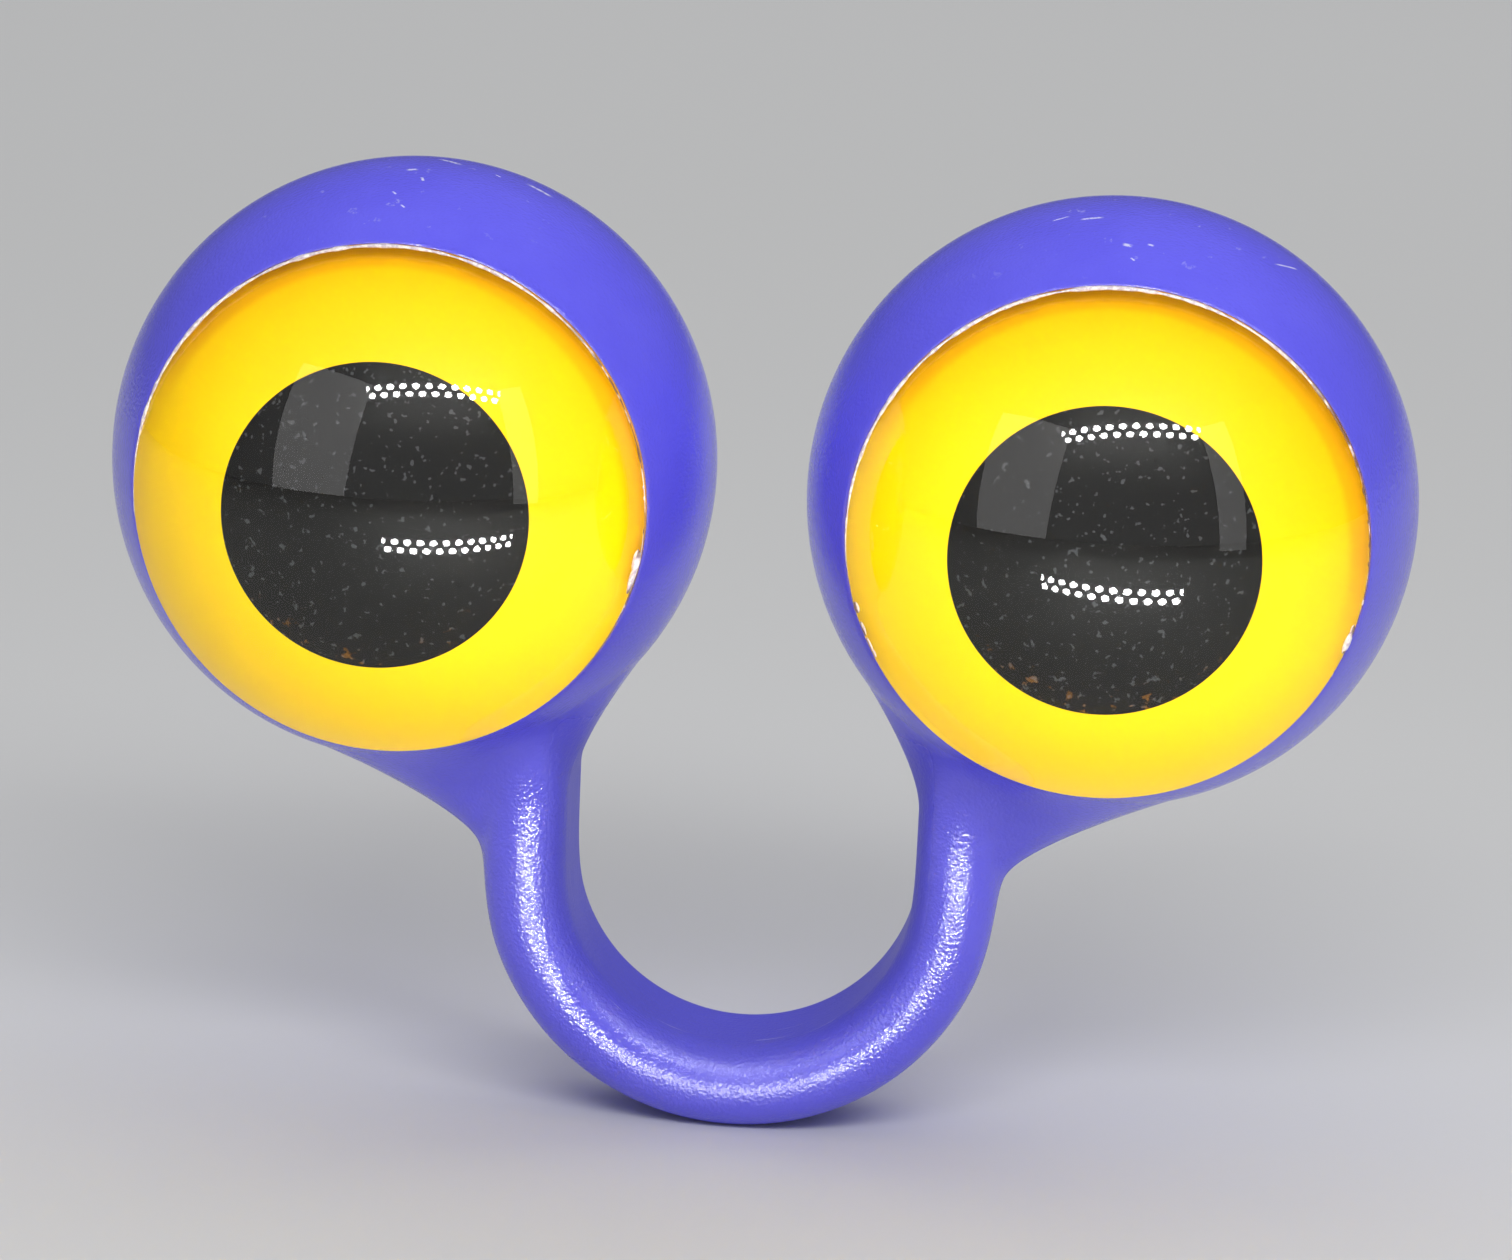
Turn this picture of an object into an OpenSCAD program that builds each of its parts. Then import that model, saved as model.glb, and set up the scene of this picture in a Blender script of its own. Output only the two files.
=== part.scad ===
// Finger-puppet eye ring. One soft moulding carries two hollow ball-shaped eye cups on an open
// U-shaped finger band. Each cup holds a clear domed lens, which is backed by a yellow iris cup
// with a black pupil disc let into its front. The origin is the centre of the finger opening,
// the finger passes along Y, and the eyes look along -Y. All sizes are in millimetres.

/* [Eye cups] */
// Width of the lid round each lens: how much larger the ball's radius is than the lens's
lid_w = 2.55; // [2.2:0.05:4]
// Gap between the two cups at their closest
eye_gap = 4.6; // [3:0.1:9]
// Height of the cups' undersides above the centre of the finger opening
eye_lift = 4.65; // [3.6:0.1:7]
// Wall of the hollow cups
cup_wall = 2.6; // [2:0.1:3.2]

/* [Finger band] */
// Radius of the finger opening
finger_r = 8.75; // [7.5:0.05:9.6]
// Radial thickness of the band
band_t = 4.15; // [3.6:0.05:5.5]
// Depth of the band along the finger
band_depth = 8.8; // [6:0.1:10]
// Depth of the band's rounded front, and of its rounded back
band_nose = 2; // [1:0.1:2.6]

/* [Necks] */
// How far up the ball the neck reaches on the outer side, in degrees from the ball's underside
wrap_out = 21; // [14:1:24]
// The same on the finger's side
wrap_in = 55; // [48:1:62]
// The same at the front and back
wrap_side = 35; // [30:1:40]
// Length of the neck's curve along the band's outer wall
lead_out = 2; // [1:0.1:2.6]
// The same along the finger's side
lead_in = 2.2; // [1.5:0.1:4.2]
// The same at the front and back
lead_side = 3; // [1.5:0.1:4.5]

/* [Lens] */
// Radius of the clear lens
lens_r = 12.45; // [11.4:0.05:13]
// Height of the lens's dome in front of its rim
dome_rise = 6.65; // [4.5:0.05:8]
// Wall of the lens
lens_wall = 1.3; // [0.9:0.05:1.8]
// Length of the straight skirt behind the lens's rim
skirt_len = 2.5; // [1.5:0.1:3]
// Drop of the lens's axis below the centre of its cup
lens_drop = 0.5; // [0:0.05:1]
// Clearance between the lens's skirt and its pocket
lens_clear = 0.05; // [0.02:0.01:0.2]

/* [Iris and pupil] */
// Wall of the iris cup
iris_wall = 0.6; // [0.4:0.05:1]
// Radius of the pupil disc
pupil_r = 7.15; // [5:0.05:9]
// Thickness of the pupil disc
pupil_t = 0.2; // [0.1:0.05:0.3]
// Clearance round the iris cup and round the pupil
iris_clear = 0.02; // [0.01:0.01:0.05]

/* [Hidden] */
$fn = 96;

// Places of the ball-shaped cups and their lenses
ball_r = lens_r + lid_w;
eye_x = ball_r + eye_gap / 2;
eye_z = ball_r + eye_lift;
left = -1;
right = 1;

// Lens: the rim lies where the ball has the lens's own radius
rim_y = sqrt(pow(ball_r, 2) - pow(lens_r, 2));
dome_r = (pow(lens_r, 2) + pow(dome_rise, 2)) / (2 * dome_rise);
dome_y = rim_y + dome_rise - dome_r;
rim_from_dome = dome_r - dome_rise;
inner_dome_r = dome_r - lens_wall;
inner_skirt_r = lens_r - lens_wall;
inner_corner = sqrt(pow(inner_dome_r, 2) - pow(inner_skirt_r, 2));
pocket_r = lens_r + lens_clear;
seat_y = rim_y - skirt_len;

// Iris cup and pupil disc, shells about the dome's own centre
iris_r = inner_dome_r - iris_clear;
iris_skirt_r = inner_skirt_r - iris_clear;
pupil_back_r = iris_r - pupil_t;

// Band section
half_depth = band_depth / 2;
nose_steps = 10;

// Neck: its curves end this far under the ball's skin, so that they run into it cleanly
neck_bite = 0.12;
neck_steps = 9;
neck_ball_r = ball_r - neck_bite;

// Overlap of a cutting tool past the face it cuts
past = 1;

// Angles round the band's section: half a turn round the nose at the back, then at the front
section_angles = [for (half = [0, 1], i = [0 : nose_steps]) 180 * (half + i / nose_steps)];
section_count = len(section_angles);

// A point of the band's section: radius from the finger's axis, and place along it
function section_point(i) =
    let (a = section_angles[i], end = i <= nose_steps ? 1 : -1)
    [finger_r + band_t / 2 * (1 + cos(a)),
     end * (half_depth - band_nose) + band_nose * sin(a)];

band_section = [for (i = [0 : section_count - 1]) section_point(i)];

// The neck's flare above one point of the section, in the upright plane along its normal.
// ahead and aside place the ball's centre in that plane, and cut_r is the ball's section there.
function ahead(p, a) = (eye_x - p[0]) * cos(a) - p[1] * sin(a);
function aside(p, a) = (eye_x - p[0]) * sin(a) + p[1] * cos(a);
function cut_r(p, a) = sqrt(pow(neck_ball_r, 2) - pow(aside(p, a), 2));
function round_section(a, out, in, side) =
    pow(cos(a), 2) * (cos(a) > 0 ? out : in) + pow(sin(a), 2) * side;

// The flare is a curve from the band's wall to where it touches the ball, wrap degrees up from the
// ball's underside. Its two tangents meet at bend, straight above the wall.
function neck_curve(p, a) =
    let (wrap = round_section(a, wrap_out, wrap_in, wrap_side))
    let (lead = round_section(a, lead_out, lead_in, lead_side))
    let (out = ahead(p, a) + cut_r(p, a) * sin(wrap), up = eye_z - cut_r(p, a) * cos(wrap))
    let (bend = up - out * tan(wrap))
    [[0, max(0, bend - lead)], [0, bend], [out, up]];
function along(curve, t) =
    pow(1 - t, 2) * curve[0] + 2 * t * (1 - t) * curve[1] + pow(t, 2) * curve[2];

// Ring of the neck at a step: 0 is the band's end, neck_steps the ball, one more the top inside
function neck_point(i, step) =
    let (p = band_section[i], a = section_angles[i])
    let (q = along(neck_curve(p, a), min(step, neck_steps) / neck_steps))
    [p[0] + q[0] * cos(a),
     p[1] + q[0] * sin(a),
     step == 0 ? 0 : step > neck_steps ? eye_z : q[1]];

module neck() {
    n = section_count;
    last = neck_steps + 1;
    points = [for (step = [0 : last], i = [0 : n - 1]) neck_point(i, step)];
    sides = [for (step = [0 : last - 1], i = [0 : n - 1])
        let (a = step * n + i, b = step * n + (i + 1) % n)
        each [[a, a + n, b + n], [a, b + n, b]]];
    foot = [for (i = [0 : n - 1]) i];
    top = [for (i = [0 : n - 1]) last * n + n - 1 - i];
    polyhedron(points, concat(sides, [foot, top]), convexity = 4);
}

// Places a shape made along +Z so that it looks out of an eye cup, from the cup's centre
module at_cup(side) {
    translate([side * eye_x, 0, eye_z]) rotate([90, 0, 0]) children();
}

// The same from the centre of the lens's dome
module at_lens(side) {
    at_cup(side) translate([0, -lens_drop, dome_y]) children();
}

// Part of a shell about the dome's centre within a radius of the eye's axis, in front of a plane
module dome_shell(outside_r, inside_r, within_r, from) {
    intersection() {
        difference() {
            sphere(r = outside_r);
            sphere(r = inside_r);
        }
        translate([0, 0, from]) cylinder(r = within_r, h = outside_r - from + past);
    }
}

module finger_band() {
    rotate([-90, 0, 0]) rotate_extrude(angle = 180) polygon(band_section);
}

module ring_body() color("slateblue") difference() {
    union() {
        finger_band();
        for (side = [left, right]) {
            mirror([side == left ? 1 : 0, 0, 0]) neck();
            at_cup(side) sphere(r = ball_r);
        }
    }
    for (side = [left, right]) {
        at_cup(side) sphere(r = ball_r - cup_wall);
        at_cup(side) translate([0, -lens_drop, seat_y]) cylinder(r = pocket_r, h = ball_r);
    }
}

// Domed cup about the dome's own centre, with a straight skirt down to the shoulder in the cup
module dome_cup(cup_r, skirt_r, wall) {
    foot = rim_from_dome - skirt_len;
    difference() {
        intersection() {
            sphere(r = cup_r);
            translate([0, 0, foot]) cylinder(r = skirt_r, h = dome_r);
        }
        intersection() {
            sphere(r = cup_r - wall);
            translate([0, 0, foot - past]) cylinder(r = skirt_r - wall, h = dome_r);
        }
    }
}

module lens(side) color("white", 0.35) at_lens(side) dome_cup(dome_r, lens_r, lens_wall);

module iris(side) color("gold") at_lens(side) difference() {
    dome_cup(iris_r, iris_skirt_r, iris_wall);
    dome_shell(iris_r + past, pupil_back_r - iris_clear, pupil_r + iris_clear, inner_corner);
}

module pupil(side) color("black") at_lens(side)
    dome_shell(iris_r, pupil_back_r, pupil_r, inner_corner);

ring_body();
lens(left);  // left_lens
lens(right);  // right_lens
iris(left);  // left_iris
iris(right);  // right_iris
pupil(left);  // left_pupil
pupil(right);  // right_pupil
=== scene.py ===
import math

import bmesh
import bpy
import numpy as np
from mathutils import Matrix, Vector


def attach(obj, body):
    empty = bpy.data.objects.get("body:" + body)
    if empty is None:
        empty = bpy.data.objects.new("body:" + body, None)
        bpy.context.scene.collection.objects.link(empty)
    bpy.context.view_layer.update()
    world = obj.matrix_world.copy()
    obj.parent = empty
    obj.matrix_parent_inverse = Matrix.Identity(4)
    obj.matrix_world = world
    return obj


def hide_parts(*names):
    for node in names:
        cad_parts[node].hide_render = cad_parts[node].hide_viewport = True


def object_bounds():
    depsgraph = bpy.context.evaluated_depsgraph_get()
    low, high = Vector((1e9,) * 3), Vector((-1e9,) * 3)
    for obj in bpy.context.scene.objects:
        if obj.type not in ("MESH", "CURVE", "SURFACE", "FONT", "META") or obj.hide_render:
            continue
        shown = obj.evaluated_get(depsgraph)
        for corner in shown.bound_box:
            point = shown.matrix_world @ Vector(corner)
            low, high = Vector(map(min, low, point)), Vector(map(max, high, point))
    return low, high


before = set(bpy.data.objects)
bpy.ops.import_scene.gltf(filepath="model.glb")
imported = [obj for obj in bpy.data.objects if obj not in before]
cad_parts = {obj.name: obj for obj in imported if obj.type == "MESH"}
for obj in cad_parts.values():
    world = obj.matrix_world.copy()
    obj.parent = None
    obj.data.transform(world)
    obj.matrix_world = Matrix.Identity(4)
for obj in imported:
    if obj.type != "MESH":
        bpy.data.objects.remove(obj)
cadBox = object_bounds()
scene = bpy.context.scene
mm = 0.001  # the frame is in metres, the sizes below are in millimetres
weldGap = 0.002  # points nearer than this become one
thinEdge = 0.001  # edges shorter than this are dissolved
sides = {"left": -1, "right": 1}  # the viewer's left is -X


# Shader maths: wraps a socket, so that sums of sockets and numbers add Math nodes
class Field:
    def __init__(self, tree, socket=None):
        self.tree = tree
        self.socket = socket

    def make(self, kind, settings=None, sockets=None, out=0):
        node = self.tree.nodes.new(kind)
        for name, value in (settings or {}).items():
            setattr(node, name, value)
        for name, value in (sockets or {}).items():
            self.feed(node.inputs[name], value)
        return Field(self.tree, node.outputs[out])

    def feed(self, target, value):
        if isinstance(value, Field):
            self.tree.links.new(value.socket, target)
        else:
            target.default_value = value

    def maths(self, operation, *values):
        return self.make("ShaderNodeMath", {"operation": operation}, dict(enumerate(values)))

    def __add__(self, other):
        return self.maths("ADD", self, other)

    def __radd__(self, other):
        return self.maths("ADD", other, self)

    def __sub__(self, other):
        return self.maths("SUBTRACT", self, other)

    def __rsub__(self, other):
        return self.maths("SUBTRACT", other, self)

    def __mul__(self, other):
        return self.maths("MULTIPLY", self, other)

    def __rmul__(self, other):
        return self.maths("MULTIPLY", other, self)

    def __truediv__(self, other):
        return self.maths("DIVIDE", self, other)

    def __rtruediv__(self, other):
        return self.maths("DIVIDE", other, self)

    # Smooth step: 0 below low, 1 above high (low above high turns it round)
    def rise(self, low, high):
        settings = {"interpolation_type": "SMOOTHSTEP"}
        sockets = {"Value": self, "From Min": low, "From Max": high}
        return self.make("ShaderNodeMapRange", settings, sockets)


def rgba(colour):
    return (*colour, 1.0)


def mixColours(amount, colourA, colourB):
    ends = [c if isinstance(c, Field) else rgba(c) for c in (colourA, colourB)]
    sockets = {0: amount, 6: ends[0], 7: ends[1]}
    return amount.make("ShaderNodeMix", {"data_type": "RGBA"}, sockets, out=2)


# A new material with one Principled shader. Gives the material, the shader, and the place on the
# surface in millimetres, whole and as its three parts
def startMaterial(name):
    material = bpy.data.materials.new(name)
    material.use_nodes = True
    tree = material.node_tree
    tree.nodes.clear()
    output = tree.nodes.new("ShaderNodeOutputMaterial")
    shader = tree.nodes.new("ShaderNodeBsdfPrincipled")
    tree.links.new(shader.outputs[0], output.inputs["Surface"])
    coords = Field(tree).make("ShaderNodeTexCoord", out="Object")
    place = coords.make("ShaderNodeVectorMath", {"operation": "SCALE"}, {0: coords, "Scale": 1 / mm})
    parts = [place.make("ShaderNodeSeparateXYZ", None, {0: place}, out=axis) for axis in range(3)]
    return material, shader, place, parts


def noise(place, scale, detail=2.0, roughness=0.5, squeeze=None):
    if squeeze is not None:
        place = place.make("ShaderNodeMapping", None, {"Vector": place, "Scale": squeeze})
    sockets = {"Vector": place, "Scale": scale, "Detail": detail, "Roughness": roughness}
    return place.make("ShaderNodeTexNoise", None, sockets)


def bump(height, strength, distance):
    sockets = {"Height": height, "Strength": strength, "Distance": distance}
    return height.make("ShaderNodeBump", None, sockets)


# Rings of points, one array each, skinned into a closed mesh with a pole at both ends
def skinRings(rings, firstPole, lastPole):
    count = len(rings[0])
    points = np.vstack([firstPole, *rings, lastPole])
    here = np.arange(count)
    onward = (here + 1) % count
    faces = [(0, 1 + b, 1 + a) for a, b in zip(here, onward)]
    for step in range(len(rings) - 1):
        low = 1 + step * count
        high = low + count
        faces += [(low + a, low + b, high + b, high + a) for a, b in zip(here, onward)]
    top = 1 + (len(rings) - 1) * count
    last = len(points) - 1
    faces += [(top + a, top + b, last) for a, b in zip(here, onward)]
    return points, faces


def meshObject(name, points, faces):
    mesh = bpy.data.meshes.new(name)
    mesh.from_pydata((np.asarray(points) * mm).tolist(), [], faces)
    piece = bpy.data.objects.new(name, mesh)
    scene.collection.objects.link(piece)
    tidyMesh(mesh)
    return piece


# Closes poles and seams, and turns every face outwards
def tidyMesh(mesh):
    work = bmesh.new()
    work.from_mesh(mesh)
    bmesh.ops.remove_doubles(work, verts=work.verts, dist=weldGap * mm)
    bmesh.ops.dissolve_degenerate(work, edges=work.edges, dist=thinEdge * mm)
    bmesh.ops.recalc_face_normals(work, faces=work.faces)
    work.to_mesh(mesh)
    work.free()


def smoothMesh(mesh, sharpAngle):
    mesh.shade_smooth()
    mesh.set_sharp_from_angle(angle=math.radians(sharpAngle))


# Replaces a piece's modifiers by what they make
def bakeModifiers(piece):
    depsgraph = bpy.context.evaluated_depsgraph_get()
    made = bpy.data.meshes.new_from_object(piece.evaluated_get(depsgraph))
    piece.modifiers.clear()
    piece.data = made
    made.name = piece.name


def finishPiece(piece, material, replaced=None):
    piece.data.materials.clear()
    piece.data.materials.append(material)
    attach(piece, "root")
    if replaced:
        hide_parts(replaced)


# Camera at the photograph's viewing angle
cameraSet = {
    "target": (0.05, 0.0, 12.02),
    "azimuth": 4.81,
    "elevation": 12.70,
    "roll": 2.60,
    "distance": 252.6,
    "focalLength": 120.76,
    "sensorWidth": 36.0,
    "nearest": 10.0,
    "farthest": 20000.0,
}


def direction(azimuth, elevation):
    a, e = math.radians(azimuth), math.radians(elevation)
    return Vector((math.sin(a) * math.cos(e), -math.cos(a) * math.cos(e), math.sin(e)))


def makeCamera():
    data = bpy.data.cameras.new("photoCamera")
    data.lens = cameraSet["focalLength"]
    data.sensor_width = cameraSet["sensorWidth"]
    data.clip_start = cameraSet["nearest"] * mm
    data.clip_end = cameraSet["farthest"] * mm
    camera = bpy.data.objects.new("photoCamera", data)
    scene.collection.objects.link(camera)
    back = direction(cameraSet["azimuth"], cameraSet["elevation"])
    right = Vector((-back.y, back.x, 0)).normalized()
    up = back.cross(right)
    roll = math.radians(cameraSet["roll"])
    rightRolled = math.cos(roll) * right + math.sin(roll) * up
    upRolled = math.cos(roll) * up - math.sin(roll) * right
    turn = Matrix((rightRolled, upRolled, back)).transposed().to_4x4()
    spot = (Vector(cameraSet["target"]) + cameraSet["distance"] * back) * mm
    camera.matrix_world = Matrix.Translation(spot) @ turn
    scene.camera = camera


makeCamera()
print("camera set")


# Eyes: places and sizes that the cups and the lenses share
eye = {
    "ballR": 15.0,
    "eyeX": 17.3,
    "eyeZ": 19.65,
    "wall": 2.6,
    "lensR": 12.45,
    "lensDrop": 0.5,
    "lensGap": 0.05,
    "domeRise": 6.65,
    "lensWall": 1.3,
    "skirt": 2.5,
}
rimForward = math.sqrt(eye["ballR"] ** 2 - eye["lensR"] ** 2)
domeR = (eye["lensR"] ** 2 + eye["domeRise"] ** 2) / (2 * eye["domeRise"])
domeForward = rimForward + eye["domeRise"] - domeR
seatForward = rimForward - eye["skirt"]
lensZ = eye["eyeZ"] - eye["lensDrop"]

# Vinyl moulding: two cups and the U-shaped band, laid out as the CAD does it
ring = {
    "around": 224,  # points round each cup
    "ballSteps": 84,
    "cavitySteps": 22,
    "lipRound": 0.28,
    "lipSteps": 5,
    "fingerR": 8.75,
    "bandT": 4.15,
    "bandDepth": 8.8,
    "nose": 2.0,  # depth of the rounded front, and of the rounded back
    "noseSteps": 30,
    "wallSteps": 6,
    "bandSteps": 84,
    "neckSteps": 30,
    "neckBite": 0.05,  # how far under the ball's skin the neck ends
    "wrap": (21.0, 55.0, 34.0),  # degrees up the ball: outer side, finger side, front and back
    "lead": (2.0, 2.2, 5.0),  # length of the neck's curve along the band's wall, in the same order
    "lipRoom": 0.12,  # room between the neck and the lip
    "cutStep": 0.25,  # degrees that a try takes off the wrap where the neck is too near the lip
    "cutTries": 60,
    "cutPasses": 10,
    "capSteps": 7,
    "capDepth": 1.1,  # the neck's hidden end lies this deep in the ball's wall
    "easeReach": 9,  # rings on each side of the joint that are eased
    "easePasses": 24,
    "sharpAngle": 42,
}


def cupRings(side):
    ball = eye["ballR"]
    phi = np.linspace(0, 2 * math.pi, ring["around"], endpoint=False)
    cosPhi, sinPhi = np.cos(phi), np.sin(phi)
    pocketR = eye["lensR"] + eye["lensGap"]

    def lipCircle(radius):
        return radius * cosPhi, radius * sinPhi - eye["lensDrop"]

    def toFrame(u, w, forward):
        forward = np.broadcast_to(forward, u.shape)
        return np.stack([side * eye["eyeX"] + u, -forward, eye["eyeZ"] + w], axis=1)

    rings = []
    # Outside of the ball, from the pole at the back to the lip
    u, w = lipCircle(pocketR + ring["lipRound"])
    psi = np.arctan2(w, u)
    thetaLip = math.pi - np.arcsin(np.hypot(u, w) / ball)
    for step in range(1, ring["ballSteps"] + 1):
        theta = thetaLip * step / ring["ballSteps"]
        across = ball * np.sin(theta)
        rings.append(toFrame(across * np.cos(psi), across * np.sin(psi), -ball * np.cos(theta)))
    # Rounded lip, down into the pocket
    start = rings[-1]
    u, w = lipCircle(pocketR)
    edge = np.sqrt(ball ** 2 - u ** 2 - w ** 2)
    corner = toFrame(u, w, edge)
    end = toFrame(u, w, edge - ring["lipRound"])
    for step in range(1, ring["lipSteps"] + 1):
        t = step / ring["lipSteps"]
        rings.append((1 - t) ** 2 * start + 2 * t * (1 - t) * corner + t ** 2 * end)
    rings.append(toFrame(u, w, seatForward))
    # Shoulder that the lens stands on, then the hollow behind it
    hollow = ball - eye["wall"]
    thetaSeat = math.pi - math.acos(seatForward / hollow)
    for step in range(ring["cavitySteps"]):
        theta = thetaSeat * (1 - step / ring["cavitySteps"])
        across = hollow * math.sin(theta)
        rings.append(toFrame(across * cosPhi, across * sinPhi, -hollow * math.cos(theta)))
    centre = np.array([[side * eye["eyeX"], 0.0, eye["eyeZ"]]])
    return rings, centre + [[0, ball, 0]], centre + [[0, hollow, 0]]


# The band's section: radius from the finger's axis, place along it, and outward angle
def bandSection():
    half = ring["bandDepth"] / 2 - ring["nose"]
    thick = ring["bandT"] / 2
    midR = ring["fingerR"] + thick
    points, angles = [], []
    for end in (1, -1):
        first = 0 if end > 0 else math.pi
        for step in range(ring["noseSteps"] + 1):
            a = first + math.pi * step / ring["noseSteps"]
            points.append((midR + thick * math.cos(a), end * half + ring["nose"] * math.sin(a)))
            angles.append(a)
        # Straight wall on to the other nose
        for step in range(1, ring["wallSteps"]):
            points.append((midR - end * thick, end * half * (1 - 2 * step / ring["wallSteps"])))
            angles.append(first + math.pi)
    return np.array(points), np.array(angles)


def roundSection(angles, values):
    out, inner, side = values
    c, s = np.cos(angles), np.sin(angles)
    return c ** 2 * np.where(c > 0, out, inner) + s ** 2 * side


# The neck's flare over the right end of the band, as rings that run up to the ball
def neckRings(points, angles):
    r, y = points[:, 0], points[:, 1]
    c, s = np.cos(angles), np.sin(angles)
    ball = eye["ballR"] - ring["neckBite"]
    ahead = (eye["eyeX"] - r) * c - y * s
    aside = (eye["eyeX"] - r) * s + y * c
    cutR = np.sqrt(ball ** 2 - aside ** 2)
    lead = roundSection(angles, ring["lead"])

    # Where a line of the neck touches the ball: how far out and how far up
    def touchBall(wrap):
        return ahead + cutR * np.sin(wrap), eye["eyeZ"] - cutR * np.cos(wrap)

    # The flare stops short of the lip round the lens
    full = np.radians(roundSection(angles, ring["wrap"]))
    cut = np.zeros_like(full)
    room = eye["lensR"] + eye["lensGap"] + ring["lipRound"] + ring["lipRoom"]
    for attempt in range(ring["cutTries"]):
        out, up = touchBall(full - cut)
        endX, endY = r + out * c, y + out * s
        tight = (np.hypot(endX - eye["eyeX"], up - lensZ) < room) & (endY < 0)
        cut = np.where(tight, cut + math.radians(ring["cutStep"]), cut)
    # What was cut is spread round the section, so that the neck has no crease
    for turn in range(ring["cutPasses"]):
        cut = (np.roll(cut, 1) + 2 * cut + np.roll(cut, -1)) / 4
    wrap = full - cut
    out, up = touchBall(wrap)
    bend = up - out * np.tan(wrap)
    low = np.maximum(0, bend - lead)
    rings = []
    for step in range(1, ring["neckSteps"] + 1):
        # Even steps along the straight start and then the curve
        goneUp = up * step / ring["neckSteps"]
        t = np.clip((goneUp - low) / (up - low), 0, 1)
        straight = goneUp < low
        curveOut = t ** 2 * out
        curveUp = (1 - t) ** 2 * low + 2 * t * (1 - t) * bend + t ** 2 * up
        outward = np.where(straight, 0, curveOut)
        height = np.where(straight, goneUp, curveUp)
        rings.append(np.stack([r + outward * c, y + outward * s, height], axis=1))
    # Domed cap inside the ball's wall
    centre = np.array([eye["eyeX"], 0, eye["eyeZ"]])
    rays = rings[-1] - centre
    rays /= np.linalg.norm(rays, axis=1)[:, None]
    middle = rays.mean(axis=0)
    middle /= np.linalg.norm(middle)
    depth = eye["ballR"] - ring["capDepth"]
    for step in range(ring["capSteps"]):
        toMiddle = rays + (middle - rays) * step / ring["capSteps"]
        toMiddle /= np.linalg.norm(toMiddle, axis=1)[:, None]
        rings.append(centre + toMiddle * depth)
    return rings, centre + middle * depth


# Eases the turn from the band into a neck, along every line of the sweep
def easeJoint(path, joint):
    reach = ring["easeReach"]
    low, high = joint - reach, joint + reach + 1
    share = 0.5 + 0.5 * np.cos(math.pi * np.arange(-reach, reach + 1) / (reach + 1))
    for turn in range(ring["easePasses"]):
        middle = (path[low - 1 : high - 1] + path[low + 1 : high + 1]) / 2
        path[low:high] += 0.5 * share[:, None, None] * (middle - path[low:high])


def bandObject():
    points, angles = bandSection()
    rightNeck, rightPole = neckRings(points, angles)
    mirror = np.array([-1, 1, 1])
    r, y = points[:, 0], points[:, 1]
    band = []
    for step in range(ring["bandSteps"] + 1):
        turn = math.pi * step / ring["bandSteps"]
        band.append(np.stack([r * math.cos(turn), y, -r * math.sin(turn)], axis=1))
    path = np.array(rightNeck[::-1] + band + [loop * mirror for loop in rightNeck])
    easeJoint(path, len(rightNeck))
    easeJoint(path, len(rightNeck) + ring["bandSteps"])
    return meshObject("bandWork", *skinRings(list(path), rightPole[None], (rightPole * mirror)[None]))


def makeRing(material):
    skin = bandObject()
    skin.name = "ringSkin"
    extras = []
    for name, side in sides.items():
        rings, backPole, hollowPole = cupRings(side)
        cup = meshObject(name + "CupWork", *skinRings(rings, backPole, hollowPole))
        join = skin.modifiers.new(name, "BOOLEAN")
        join.operation = "UNION"
        join.solver = "MANIFOLD"
        join.object = cup
        extras.append(cup)
    bakeModifiers(skin)
    for cup in extras:
        bpy.data.objects.remove(cup)
    tidyMesh(skin.data)
    smoothMesh(skin.data, ring["sharpAngle"])
    finishPiece(skin, material, "ring_body")
    print("ring skin:", len(skin.data.polygons), "faces")


vinyl = {
    "violet": (0.131, 0.116, 0.89),
    "paleViolet": (0.146, 0.131, 0.92),
    "shadedWallViolet": (0.085, 0.080, 0.56),  # painted shade on the wall of the finger opening
    "scuff": (0.72, 0.72, 0.90),
    "roughness": 0.15,
    "cloudRough": 0.08,
    "wornRough": 0.2,
    "specular": 0.8,
    # Patterns, per millimetre: paler patches, clouds in them, grain, ragged edges and rubbed streaks
    "mottle": 0.16,
    "cloud": 0.6,
    "grain": 5.5,
    "grainDepth": 0.045,
    "rag": 5.0,
    "rub": 1.1,
    "rubStretch": (1.0, 0.5, 1.8),
    "rubHeights": (30.5, 34.0),
    # Wall of the finger opening, from its front edge inwards, and the band's underside
    "wallR": (10.1, 8.85),
    "wallHeights": (10.0, 5.0),
    "wallLines": (1.6, 3.4, 0.2),  # stretch of its lines round it, along it and outwards
    "lineDepth": 0.8,
    "wallDull": 0.3,
    "underHeights": (-7.5, -11.5),
    "underDull": 0.2,
    "shows": {"deep": 0.75, "scuff": 0.85, "rub": 0.35, "line": 0.35},
    "scuffCore": (0.7, 0.3),  # share of a scuff's reach, and of its width, at full strength
    # Scuffs on the balls' tops: place across and back, half their reach across and back, half width
    "scuffs": [
        (-11.5, -0.5, 0.50, -0.12, 0.26),
        (-16.0, -0.2, 0.50, -0.32, 0.22),
        (-17.5, -2.6, 0.16, 0.04, 0.18),
        (-16.8, -3.8, 0.06, -0.16, 0.10),
        (-17.9, -5.4, 0.09, -0.10, 0.07),
        (-17.3, -6.5, 0.09, -0.08, 0.07),
        (-13.5, -1.0, 0.11, -0.07, 0.08),
        (15.6, -3.7, 0.48, 0.05, 0.13),
        (14.1, -3.3, 0.35, 0.10, 0.09),
        (17.4, -6.3, 0.12, -0.03, 0.17),
        (18.5, -6.1, 0.08, -0.02, 0.11),
        (17.7, -7.3, 0.07, -0.06, 0.07),
        (25.0, -2.9, 0.54, 0.65, 0.09),
    ],
}


# Height of a ball's top over a place across and back
def ballTop(across, back):
    aside = across - math.copysign(eye["eyeX"], across)
    return eye["eyeZ"] + math.sqrt(eye["ballR"] ** 2 - aside ** 2 - back ** 2)


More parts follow.
